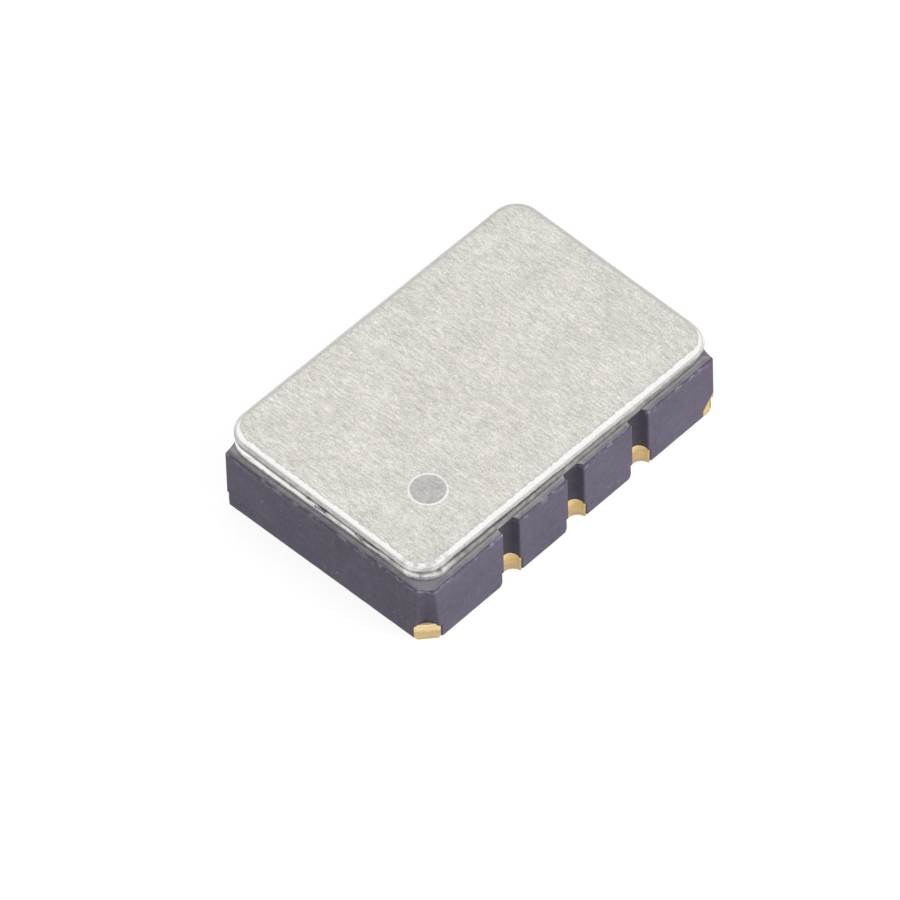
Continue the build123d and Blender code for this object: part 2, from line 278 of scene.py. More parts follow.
def base_plan(edge):
    """The base layer's outline, one side of each notch rounded off by the given edge."""
    corners = (straight_corner(CORNER_ALONG, CORNER_ACROSS, EDGE),
               straight_corner(CORNER_ACROSS, CORNER_ALONG, EDGE))
    return body_plan(notch_points(NOTCH_RADIUS, edge, 0, EDGE), corners * 2)


WALL_PLAN, FOOT_PLAN = wall_plan(), wall_plan(foot=True)
AROUND = len(WALL_PLAN)


def cavity_for(plan, growth=0, x_high=None):
    """For each point of the outline, a point of the cavity's outline."""
    half_x, half_y = END - WALL + growth, SIDE - WALL + growth
    radius = CAVITY_CORNER + growth
    x = np.clip(plan[:, 0], -half_x + radius, half_x - radius)
    y = np.clip(plan[:, 1], -half_y + radius, half_y - radius)
    out = np.column_stack([x, y])
    aim = plan - out
    corner = ((np.abs(plan[:, 0]) > half_x - radius)
              & (np.abs(plan[:, 1]) > half_y - radius))
    nearer_side = np.abs(np.abs(plan[:, 1]) - SIDE) < np.abs(np.abs(plan[:, 0]) - END)
    on_side, on_end = ~corner & nearer_side, ~corner & ~nearer_side
    aim[on_side, 0] = 0
    aim[on_end, 1] = 0
    out[on_side, 1] = (np.sign(plan[:, 1]) * (half_y - radius))[on_side]
    out[on_end, 0] = (np.sign(plan[:, 0]) * (half_x - radius))[on_end]
    out = out + aim / np.linalg.norm(aim, axis=1)[:, None] * radius
    if x_high is not None:
        out[:, 0] = np.minimum(out[:, 0], x_high)
    return out


CORNER_RECESS = 0.45
FULL_RECESS = GROOVE_RADIUS * 0.6


def recess_of(plan):
    """How deep each point lies in a groove or, to a lesser share, in a hollow corner, up to 1. The
    ceramic's colour is darkened by it as painted shade.
    """
    depth_y, depth_x = SIDE - np.abs(plan[:, 1]), END - np.abs(plan[:, 0])
    in_corner = (depth_x < 2 * CORNER_RADIUS) & (depth_y < 2 * CORNER_RADIUS)
    depth = np.minimum(depth_y, depth_x) * np.where(in_corner, CORNER_RECESS, 1)
    return np.clip(depth / FULL_RECESS, 0, 1)


# Rows up the foot: height as a share of its rise, share of the wider rounding, share of the bevel.
FOOT_ROWS = ((0, 1, 1), (0.08, 0.86, 0.35), (0.2, 0.66, 0), (0.45, 0.36, 0), (0.7, 0.14, 0),
             (1, 0, 0))
BASE_ROWS = (0.5, 1)
WALL_ROWS = (0, 0.03, 0.15, 0.3, 0.45, 0.6, 0.75, 0.9, 1)
CORNER_BLEND = 0.8
BEVEL_ANGLES = (25, 50, 75, 90)
FOOT_BEVEL, TOP_MARGIN = BEVEL * 0.6, BEVEL * 1.8
WIDE_CHIPS, FINE_CHIPS, FOOT_CHIPS = 0.0012, 0.0010, 0.0016


def make_ceramic(material):
    """The fired body: worn outer edges, castellated sides, the cavity and its shelf."""
    low, high = BODY_LOW[2], BODY_HIGH[2]
    chips = (WIDE_CHIPS * np.maximum(ripple(AROUND, waves=60, seed=3), 0)
             + FINE_CHIPS * np.maximum(ripple(AROUND, waves=200, seed=4) - 1, 0))[:, None]
    foot = FOOT_CHIPS * np.maximum(ripple(AROUND, waves=60, seed=5), 0)[:, None]
    loops = []
    for up, edge, back in FOOT_ROWS:
        plan = base_plan(EDGE + (BOTTOM_EDGE - EDGE) * edge)
        plan = plan + inward(plan) * (FOOT_BEVEL + foot) * back
        loops.append(at_height(plan, low + BOTTOM_RISE * up))
    plan, foot_top = base_plan(EDGE), low + BOTTOM_RISE
    loops += [at_height(plan, foot_top + (BASE_TOP - foot_top) * share) for share in BASE_ROWS]
    # How much painted shade each point gets, by how deep it lies in a groove or hollow corner.
    recess = [recess_of(FOOT_PLAN)] * len(loops)
    shoulder = high - BEVEL
    for share in WALL_ROWS:
        plan = FOOT_PLAN + (WALL_PLAN - FOOT_PLAN) * share ** CORNER_BLEND
        loops.append(at_height(plan, BASE_TOP + (shoulder - BASE_TOP) * share))
        recess.append(recess_of(plan))
    worn_from = len(loops) - 1
    wall_in = inward(WALL_PLAN)
    for angle in BEVEL_ANGLES:
        t = math.radians(angle)
        inset = BEVEL * (1 - math.cos(t)) + chips
        loops.append(at_height(WALL_PLAN + wall_in * inset, shoulder + BEVEL * math.sin(t)))
    worn_to = len(loops)
    loops.append(at_height(wall_plan(TOP_MARGIN), high))
    recess += [recess_of(WALL_PLAN)] * (len(loops) - len(recess))
    shelf_top, shelf_face = BASE_TOP + SHELF_HEIGHT, END - WALL - SHELF_LENGTH
    mouth = cavity_for(WALL_PLAN)
    floor = cavity_for(WALL_PLAN, x_high=shelf_face)
    loops += [at_height(mouth, high), at_height(mouth, shelf_top)]
    loops += [at_height(floor, shelf_top), at_height(floor, BASE_TOP)]
    recess += [np.zeros(AROUND)] * (len(loops) - len(recess))
    points, faces = loft(loops)
    faces.append(tuple(range(AROUND - 1, -1, -1)))
    last = len(points) - AROUND
    faces.append(tuple(range(last, last + AROUND)))
    rows = np.arange(len(points)) // AROUND
    place("ceramic", points, faces, material, "ceramic", ["ceramic_body"],
          edge_wear=(rows >= worn_from) & (rows < worn_to), recess=np.concatenate(recess))


FILM_UNEVEN, FILM_UNEVEN_MOST = 0.0022, 0.006
FILM_SHOULDER, FILM_SHOULDER_HEIGHT = FILM_MARGIN * 1.5, 0.4


def make_film(material):
    """The metal film on the rim, its outer edge a little uneven."""
    low, high = FILM_LOW[2], FILM_HIGH[2]
    inner = cavity_for(WALL_PLAN, RING_INSET)
    outer, shoulder = wall_plan(FILM_MARGIN), wall_plan(FILM_SHOULDER)
    uneven = FILM_UNEVEN * ripple(AROUND, waves=70, seed=8)
    uneven = np.clip(uneven, -FILM_UNEVEN_MOST, FILM_UNEVEN_MOST)[:, None]
    outer = outer + inward(outer) * uneven
    shoulder = shoulder + inward(shoulder) * uneven
    loops = [at_height(inner, low), at_height(outer, low),
             at_height(outer, low + FILM_SHOULDER_HEIGHT * (high - low)),
             at_height(shoulder, high), at_height(inner, high), at_height(inner, low)]
    points, faces = loft(loops)
    place("film", points, faces, material, "seal_metal", ["seal_film"])


# Rows of the ring's foot as inset and height, then the angles of its shoulder.
RING_FOOT = ((0.005, 0), (0.004, 0.007), (0, 0.012))
RING_ANGLES = (0, 18, 36, 54, 72, 90)
# Rows of the ring's foot painted dark as a joint with painted contact shade.
RING_SEAM_ROWS = (0, 1, 2)
RING_CORNER_POINTS = 20
RING_WEAR, RING_WEAR_MOST = 0.0015, 0.005


def make_ring(material):
    """The seal ring between film and lid, with a rounded, slightly uneven shoulder."""
    low, high = RING_LOW[2], RING_HIGH[2]
    half = (RING_HIGH - RING_LOW) / 2
    plan = rounded_plan(half[0], half[1], RING_CORNER, SPACING, RING_CORNER_POINTS)
    normals = inward(plan)
    count = len(plan)
    wear = np.clip(RING_WEAR * ripple(count, waves=30, seed=12), 0, RING_WEAR_MOST)[:, None]
    hole = rounded_plan(END - WALL + RING_INSET, SIDE - WALL + RING_INSET,
                        CAVITY_CORNER + RING_INSET, SPACING, RING_CORNER_POINTS)
    full_turn = 2 * math.pi
    angle, hole_angle = (np.mod(np.arctan2(p[:, 1] / half[1], p[:, 0] / half[0]), full_turn)
                         for p in (plan, hole))
    order = np.argsort(hole_angle)
    inner = np.column_stack([
        np.interp(angle, hole_angle[order], hole[order][:, k], period=full_turn) for k in (0, 1)
    ])
    loops = [at_height(inner, low)]
    loops += [at_height(plan + normals * inset, low + up) for inset, up in RING_FOOT]
    for turn in RING_ANGLES:
        t = math.radians(turn)
        inset = RING_EDGE * (1 - math.cos(t)) + wear * math.cos(t)
        height = high - RING_EDGE + RING_EDGE * math.sin(t)
        loops.append(at_height(plan + normals * inset, height))
    loops += [at_height(inner, high), at_height(inner, low)]
    points, faces = loft(loops)
    place("ring", points, faces, material, "ring_metal", ["seal_ring"],
          seam=np.isin(np.arange(len(points)) // count, RING_SEAM_ROWS))


RIM_ACROSS = 0.080
RIM_FADE = 0.012
LID_HALF = (RING_HIGH - RING_LOW) / 2 + LID_GROWTH
LID_CENTRE = (LID_HIGH + LID_LOW)[:2] / 2
LID_ROTATION = np.array([[math.cos(LID_TURN), math.sin(LID_TURN)],
                         [-math.sin(LID_TURN), math.cos(LID_TURN)]])
LID_CORNER_POINTS = 24
LID_SWELL, LID_SWELL_MOST = 0.0012, 0.004
# Rows of the lid's foot: inset, height, share of the swell, and whether the row is in the seam,
# which is painted dark as a joint with painted contact shade.
LID_FOOT = ((0.02, 0, 0, 1), (0.010, 0, 0, 1), (0.006, 0.007, 1, 1), (0.001, 0.012, 1, 0))
RIM_ANGLES = range(0, 91, 9)
# Angles over the rim between which each mark fades, and from what to what.
RIM_MARK = ((54, 84), (1, 0.2))
SIDE_MARK = ((24, 46), (1, 0))
FOOT_MARK = ((12, 34), (1, 0))

DOT_ON_LID = (-LID_HALF[0] + DOT_FROM_END, -LID_HALF[1] + DOT_FROM_SIDE)
DOT_POINTS = 72
# Rings of the dot: growth of its radius, depth, and share of the pit's paint.
DOT_RINGS = ((0.030, 0, 0), (0.013, 0, 0), (0.006, 0.0006, 0), (-0.003, DOT_DEPTH * 0.6, 0.5),
             (-0.012, DOT_DEPTH, 1), (-0.03, DOT_DEPTH, 1))


def make_lid(material):
    """The lid: a rounded, polished rim, a flat top and the shallow dot, all set a little askew."""
    low, high = LID_LOW[2], LID_HIGH[2]
    plan = rounded_plan(LID_HALF[0], LID_HALF[1], LID_CORNER, SPACING, LID_CORNER_POINTS)
    normals = inward(plan)
    count = len(plan)
    swell = np.clip(LID_SWELL * ripple(count, waves=24, seed=21), 0, LID_SWELL_MOST)[:, None]
    loops = [at_height(plan + normals * (inset + swell * share), low + up)
             for inset, up, share, _ in LID_FOOT]
    for angle in RIM_ANGLES:
        t = math.radians(angle)
        inset = RIM_ACROSS * (1 - math.cos(t)) + swell * math.cos(t)
        height = high - LID_EDGE + LID_EDGE * math.sin(t)
        loops.append(at_height(plan + normals * inset, height))
    loops.append(at_height(plan + normals * (RIM_ACROSS + RIM_FADE), high))
    points, faces = loft(loops)
    faces.append(tuple(range(count - 1, -1, -1)))

    rings = [at_height(arc(DOT_ON_LID, DOT_DIAMETER / 2 + grow, 0, 360, DOT_POINTS + 1)[:-1],
                       high - depth) for grow, depth, _ in DOT_RINGS]
    dot_points, dot_faces = loft(rings)
    dot_start, rim_start = len(points), len(points) - count
    faces += [tuple(dot_start + i for i in f) for f in dot_faces]
    outer, hole = [Vector(p) for p in points[rim_start:]], [Vector(p) for p in rings[0]]
    ids = range(rim_start, dot_start + DOT_POINTS)
    faces += [tuple(ids[i] for i in tri) for tri in tessellate_polygon([outer, hole])]
    floor_start = dot_start + DOT_POINTS * (len(DOT_RINGS) - 1)
    faces.append(tuple(range(floor_start, floor_start + DOT_POINTS)))
    points = np.concatenate([points, dot_points])
    points[:, :2] = points[:, :2] @ LID_ROTATION + LID_CENTRE

    def on_rows(rim_rows, dot_rows=(0,) * len(DOT_RINGS)):
        return np.concatenate([np.repeat(rim_rows, count), np.repeat(dot_rows, DOT_POINTS)])

    def faded(mark):
        return on_rows([1] * len(LID_FOOT) + [np.interp(a, *mark) for a in RIM_ANGLES] + [0])

    seam = [row[3] for row in LID_FOOT] + [0] * (len(RIM_ANGLES) + 1)
    pit = on_rows([0] * len(loops), [ring[2] for ring in DOT_RINGS])
    place("lid_plate", points, faces, material, "lid_metal", ["lid"], rim=faded(RIM_MARK),
          side=faded(SIDE_MARK), foot=faded(FOOT_MARK), seam=on_rows(seam), pit=pit)


CORNER_TERMINALS = (1, 5, 6, 10)
FIRST_FAR_TERMINAL = 6
# Shares of the cut that the plating covers, from the short side to the long one.
COVER_START_NEAR, COVER_START_FAR, COVER_END = 0, 0.12, 0.86
# How far off the straight cut and past its ends a point may lie and still be plating, as shares.
CUT_SKIN, CUT_REACH = 0.25, 1.02
# How much the plating rounds off at its foot and its top, as shares, and over what heights.
ROUND_FOOT, ROUND_FOOT_HEIGHT = 0.09, 0.045
ROUND_TOP, ROUND_TOP_HEIGHT = 0.05, 0.035
CORNER_PROUD, CORNER_PRESS = 0.004, 0.8


def thin_corner(points, start, end):
    """Narrows the plating on a corner's straight cut and presses it closer to the cut."""
    along, across = END - np.abs(points[:, 0]), SIDE - np.abs(points[:, 1])
    skin = np.abs(1 - along / CORNER_ALONG - across / CORNER_ACROSS) < CUT_SKIN
    skin &= (along < CORNER_ALONG * CUT_REACH) & (across < CORNER_ACROSS * CUT_REACH)
    above, below = points[:, 2], BASE_TOP - points[:, 2]
    rounding = ROUND_FOOT * np.clip(1 - above / ROUND_FOOT_HEIGHT, 0, 1) ** 2
    rounding += ROUND_TOP * np.clip(1 - below / ROUND_TOP_HEIGHT, 0, 1) ** 2
    share = along / CORNER_ALONG
    slide = np.where(skin, np.clip(share, start + rounding, end - rounding) - share, 0)
    along, across = along + slide * CORNER_ALONG, across - slide * CORNER_ACROSS
    points[:, 0] = np.sign(points[:, 0]) * (END - along)
    points[:, 1] = np.sign(points[:, 1]) * (SIDE - across)
    reach = math.hypot(CORNER_ALONG, CORNER_ACROSS)
    off_cut = 1 - along / CORNER_ALONG - across / CORNER_ACROSS
    proud = off_cut * CORNER_ALONG * CORNER_ACROSS / reach
    press = np.clip(proud - CORNER_PROUD, 0, None) * CORNER_PRESS
    points[:, 0] -= np.sign(points[:, 0]) * press * CORNER_ACROSS / reach
    points[:, 1] -= np.sign(points[:, 1]) * press * CORNER_ALONG / reach


# Radii between which a point is plating of a notch, and how deep in, as shares of the notch.
SKIN_FROM, SKIN_TO, SKIN_DEPTH = 0.8, 1.01, 0.8
# The plating thins over a depth up to where it starts, to a thin skin, and is drawn back.
THIN_START, THIN_OVER = 0.035, 0.023
THIN_SKIN, LEAST_SKIN = 0.0015, 0.001
DRAWN_BACK, DRAWN_MOST = 0.012, 0.9


def feather(points, x, side):
    """Thins the plating towards the rounded end of its notch, drawn back with the ceramic."""
    across, depth = points[:, 0] - x, np.abs(side) - np.abs(points[:, 1])
    radius = np.hypot(across, depth)
    skin = (radius > SKIN_FROM * NOTCH_RADIUS) & (radius < SKIN_TO * NOTCH_RADIUS)
    skin &= (depth < SKIN_DEPTH * NOTCH_RADIUS) & (across * side > 0)
    share = np.clip((THIN_START - depth) / THIN_OVER, 0, 1)
    thin = radius + np.clip(NOTCH_RADIUS - THIN_SKIN - radius, 0, None) * share
    thin = np.minimum(thin, NOTCH_RADIUS - LEAST_SKIN)
    drawn = DRAWN_BACK + BOTTOM_RISE * np.clip(1 - points[:, 2] / BOTTOM_RISE, 0, 1)
    new_depth = np.maximum(depth * thin / radius, np.minimum(drawn, DRAWN_MOST * thin))
    new_across = np.sign(across) * np.sqrt(np.clip(thin ** 2 - new_depth ** 2, 0, None))
    points[skin, 0] = (x + new_across)[skin]
    points[skin, 1] = (np.sign(side) * (np.abs(side) - new_depth))[skin]


WICK_HEIGHT = 0.052
WICK_FROM, WICK_TO, WICK_POINTS, WICK_POWER = 10, 170, 25, 0.8
WICK_FRONT, WICK_TOP, WICK_BACK = -0.004, -0.001, 0.003
WICK_ROUNDING, WICK_FOOT = 0.004, 0.010


def wicked(x, side):
    """The plating that has crept up into the groove over its notch, highest in the middle."""
    angles = np.radians(np.linspace(WICK_FROM, WICK_TO, WICK_POINTS))
    top = BASE_TOP + WICK_HEIGHT * np.sin(angles) ** WICK_POWER
    bottom = np.full(WICK_POINTS, BASE_TOP - WICK_FOOT)
    rows = []
    for grow, height in ((WICK_FRONT, bottom), (WICK_FRONT, top - WICK_ROUNDING), (WICK_TOP, top),
                         (WICK_BACK, top), (WICK_BACK, bottom)):
        r = GROOVE_RADIUS + grow
        rows.append(np.column_stack([x + r * np.cos(angles),
                                     side - np.sign(side) * r * np.sin(angles), height]))
    faces = []
    for k in range(len(rows)):
        a, b = k * WICK_POINTS, (k + 1) % len(rows) * WICK_POINTS
        faces += [(a + i, a + i + 1, b + i + 1, b + i) for i in range(WICK_POINTS - 1)]
    for end in (0, WICK_POINTS - 1):
        faces.append(tuple(k * WICK_POINTS + end for k in range(len(rows))))
    return np.concatenate(rows), faces


# The CAD mesh is merged (in metres) and cleared of flat edges (degrees), then bevelled at edges
# sharper than an angle. Upright edges of some length and steepness are cut up.
CAD_SAME_POINT, CAD_FLAT = 2e-8, 1
GOLD_BEVEL, GOLD_BEVEL_ANGLE = 0.006, 40
UPRIGHT_LENGTH, UPRIGHT_SHARE, UPRIGHT_CUTS = 0.05, 0.7, 7


def is_upright(edge):
    length = edge.calc_length()
    rise = abs(edge.verts[0].co.z - edge.verts[1].co.z)
    return length > UPRIGHT_LENGTH * MM and rise > UPRIGHT_SHARE * length


def make_gold(number, material):
    """A terminal with the sharpness taken off its edges."""
    node = f"terminal_{number:02d}"
    at_corner = number in CORNER_TERMINALS
    near = number < FIRST_FAR_TERMINAL
    bm = bmesh.new()
    bm.from_mesh(frame["nodes"][node].data)
    bmesh.ops.remove_doubles(bm, verts=bm.verts, dist=CAD_SAME_POINT)
    bmesh.ops.dissolve_limit(bm, angle_limit=math.radians(CAD_FLAT), verts=bm.verts, edges=bm.edges)
    sharp = [e for e in bm.edges
             if e.is_manifold and e.calc_face_angle() > math.radians(GOLD_BEVEL_ANGLE)]
    bmesh.ops.bevel(bm, geom=sharp, offset=GOLD_BEVEL * MM, offset_type="OFFSET", segments=2,
                    profile=0.5, affect="EDGES", clamp_overlap=True)
    if at_corner:
        upright = [e for e in bm.edges if is_upright(e)]
        bmesh.ops.subdivide_edges(bm, edges=upright, cuts=UPRIGHT_CUTS)
    bmesh.ops.triangulate(bm, faces=bm.faces)
    bm.verts.index_update()
    points = np.array([v.co for v in bm.verts]) / MM
    faces = [tuple(v.index for v in f.verts) for f in bm.faces]
    bm.free()
    if at_corner:
        thin_corner(points, COVER_START_NEAR if near else COVER_START_FAR, COVER_END)
    else:
        side = -SIDE if near else SIDE
        x = MOUNTS[f"land_{number:02d}"][0] / MM
        feather(points, x, side)
        more_points, more_faces = wicked(x, side)
        faces += [tuple(len(points) + i for i in f) for f in more_faces]
        points = np.concatenate([points, more_points])
    piece = place(f"gold_{number:02d}", points, faces, material, "gold_plating", [node],
                  GOLD_SHARP_ANGLE)
    normal = piece.modifiers.new("even", "WEIGHTED_NORMAL")
    normal.keep_sharp = True


# Materials

NOISE_LOW, NOISE_HIGH = 0.3, 0.7


class Paint:
    """A node material with a Principled shader, in object coordinates measured in millimetres."""

    def __init__(self, name):
        self.material = bpy.data.materials.new(name)
        self.material.use_nodes = True
        self.tree = self.material.node_tree
        self.tree.nodes.clear()
        self.shader = self.add("ShaderNodeBsdfPrincipled")
        out = self.add("ShaderNodeOutputMaterial")
        self.link(self.shader.outputs["BSDF"], out.inputs["Surface"])
        self.coords = self.add("ShaderNodeTexCoord").outputs["Object"]

    def add(self, kind, **values):
        node = self.tree.nodes.new(kind)
        for key, value in values.items():
            setattr(node, key, value)
        return node

    def link(self, a, b):
        self.tree.links.new(a, b)

    def give(self, socket, value):
        """Links an output to a socket, or sets a number or colour on it."""
        if hasattr(value, "is_linked"):
            self.link(value, socket)
        else:
            socket.default_value = value

    def set(self, **values):
        """Sets or links the shader's own sockets."""
        for key, value in values.items():
            self.give(self.shader.inputs[key.replace("_", " ")], value)

    def scaled(self, scale):
        """Coordinates times a scale per millimetre, one number or three."""
        node = self.add("ShaderNodeVectorMath", operation="MULTIPLY")
        self.link(self.coords, node.inputs[0])
        three = (scale,) * 3 if isinstance(scale, (int, float)) else scale
        node.inputs[1].default_value = [s / MM for s in three]
        return node.outputs[0]

    def axis(self, name):
        """One coordinate in millimetres."""
        split = self.add("ShaderNodeSeparateXYZ")
        self.link(self.scaled(1), split.inputs[0])
        return split.outputs[name]

    def away(self, x, y):
        """Distance in millimetres from an upright line."""
        node = self.add("ShaderNodeVectorMath", operation="DISTANCE")
        self.link(self.scaled((1, 1, 0)), node.inputs[0])
        node.inputs[1].default_value = (x, y, 0)
        return node.outputs["Value"]

    def attribute(self, name):
        return self.add("ShaderNodeAttribute", attribute_name=name).outputs["Fac"]

    def noise(self, scale, detail=3, rough=0.55, warp=0):
        node = self.add("ShaderNodeTexNoise")
        self.link(self.scaled(scale), node.inputs["Vector"])
        node.inputs["Scale"].default_value = 1
        node.inputs["Detail"].default_value = detail
        node.inputs["Roughness"].default_value = rough
        node.inputs["Distortion"].default_value = warp
        return node.outputs["Fac"]

    def cells(self, scale, feature="F1", output="Distance"):
        node = self.add("ShaderNodeTexVoronoi", feature=feature)
        self.link(self.scaled(scale), node.inputs["Vector"])
        node.inputs["Scale"].default_value = 1
        return node.outputs[output]

    def math(self, operation, a, b=0.0):
        node = self.add("ShaderNodeMath", operation=operation)
        for socket, value in zip(node.inputs, (a, b)):
            self.give(socket, value)
        return node.outputs[0]

    def times(self, a, b):
        return self.math("MULTIPLY", a, b)

    def span(self, value, low, high, to_low=0.0, to_high=1.0):
        """Maps a value from one span to another, and no further."""
        node = self.add("ShaderNodeMapRange")
        self.link(value, node.inputs[0])
        for i, v in enumerate((low, high, to_low, to_high), start=1):
            node.inputs[i].default_value = v
        return node.outputs[0]

    def vary(self, noise, low, high):
        """A number that follows a noise."""
        return self.span(noise, NOISE_LOW, NOISE_HIGH, low, high)

    def ramp(self, value, *stops):
        """A colour or grey ramp through (place, value) stops."""
        node = self.add("ShaderNodeValToRGB")
        elements = node.color_ramp.elements
        while len(elements) < len(stops):
            elements.new(0.5)
        for element, (position, colour) in zip(elements, stops):
            element.position = position
            three = (colour,) * 3 if isinstance(colour, (int, float)) else colour
            element.color = (*three, 1)
        self.link(value, node.inputs["Fac"])
        return node.outputs["Color"]

    def tint(self, noise, low, high):
        """A colour or grey that follows a noise."""
        return self.ramp(noise, (NOISE_LOW, low), (NOISE_HIGH, high))

    def mix(self, factor, a, b, blend="MIX"):
        """Two colours or greys mixed by a factor."""
        node = self.add("ShaderNodeMix", data_type="RGBA", blend_type=blend)
        self.give(node.inputs[0], factor)
        for socket, value in ((node.inputs[6], a), (node.inputs[7], b)):
            if isinstance(value, (int, float)):
                value = (value,) * 3
            self.give(socket, (*value, 1) if isinstance(value, tuple) else value)
        return node.outputs[2]

    def shade(self, a, b):
        """One colour times another."""
        return self.mix(1.0, a, b, "MULTIPLY")

    def over(self, colour, mask, strength, layer):
        """A layer laid over a colour, where a mask is set and as far as its strength goes."""
        return self.mix(self.times(mask, strength), colour, layer)

    def bump(self, *layers):
        """Bumps on each other, each (height, depth in millimetres)."""
        before = None
        for height, depth in layers:
            node = self.add("ShaderNodeBump")
            node.inputs["Strength"].default_value = 1
            node.inputs["Distance"].default_value = depth * MM
            self.link(height, node.inputs["Height"])
            if before:
                self.link(before, node.inputs["Normal"])
            before = node.outputs["Normal"]
        self.link(before, self.shader.inputs["Normal"])


# How far the plating has run along the face at one corner, how high there, how steeply it rises,
# how deep on the face and how soft at its edge.
RUN_LENGTH = 0.085
RUN_HEIGHT = 0.10
RUN_SLOPE = 1.05
RUN_DEPTH = 0.025
RUN_SOFT = 0.012


def ceramic_paint():
    p = Paint("ceramic")
    colour = p.tint(p.noise(1.8, 4), (0.069, 0.060, 0.087), (0.090, 0.077, 0.112))
    colour = p.shade(colour, p.tint(p.noise(20, 4, 0.65), 0.86, 1.13))
    light_specks = p.ramp(p.noise(24, 1, 0.5), (0.71, 0.0), (0.77, 1.0))
    colour = p.over(colour, light_specks, 0.45, (0.24, 0.22, 0.27))
    dark_specks = p.ramp(p.noise(20, 1, 0.5, 0.4), (0.24, 1.0), (0.30, 0.0))
    colour = p.over(colour, dark_specks, 0.35, (0.045, 0.039, 0.055))
    chipped = p.ramp(p.noise((11, 11, 30), 2, 0.6), (0.50, 0.0), (0.60, 1.0))
    worn = p.times(chipped, p.attribute("edge_wear"))
    colour = p.over(colour, worn, 0.6, (0.24, 0.22, 0.26))
    # Painted shade: darker colour in the grooves and, less, in the hollow corners, by how deep a
    # point lies.
    recess = p.attribute("recess")
    colour = p.over(colour, recess, 0.62, (0.024, 0.019, 0.026))
    # Painted shadow: a dark brown line in the grooves just above the plating.
    shadow_over_gold = p.times(recess, p.span(p.axis("Z"), BASE_TOP + 0.065, BASE_TOP + 0.040))
    colour = p.over(colour, shadow_over_gold, 0.6, (0.026, 0.014, 0.008))

    # The run of plating on the face at one corner.
    ragged = p.vary(p.noise(9, 2), -0.006, 0.006)
    along = p.math("SUBTRACT", p.axis("X"), END - CORNER_ALONG - RUN_LENGTH)
    along = p.math("ADD", along, ragged)
    height = p.math("ADD", p.times(along, RUN_SLOPE), RUN_HEIGHT)
    height = p.math("SUBTRACT", height, p.axis("Z"))
    run = p.times(p.span(along, 0.0, RUN_SOFT), p.span(height, 0.0, RUN_SOFT))
    run = p.times(run, p.span(p.axis("Y"), -SIDE + RUN_DEPTH + 0.010, -SIDE + RUN_DEPTH))
    plating = p.tint(p.noise((6, 6, 45), 3), (0.56, 0.40, 0.20), (0.70, 0.51, 0.25))
    p.set(Base_Color=p.mix(run, colour, plating), Metallic=p.times(run, 0.6),
          Roughness=p.vary(p.noise(12, 3), 0.58, 0.74), Specular_IOR_Level=0.28)
    p.bump((p.noise(5, 3), 0.004), (p.noise(30, 3, 0.6), 0.0018))
    return p.material


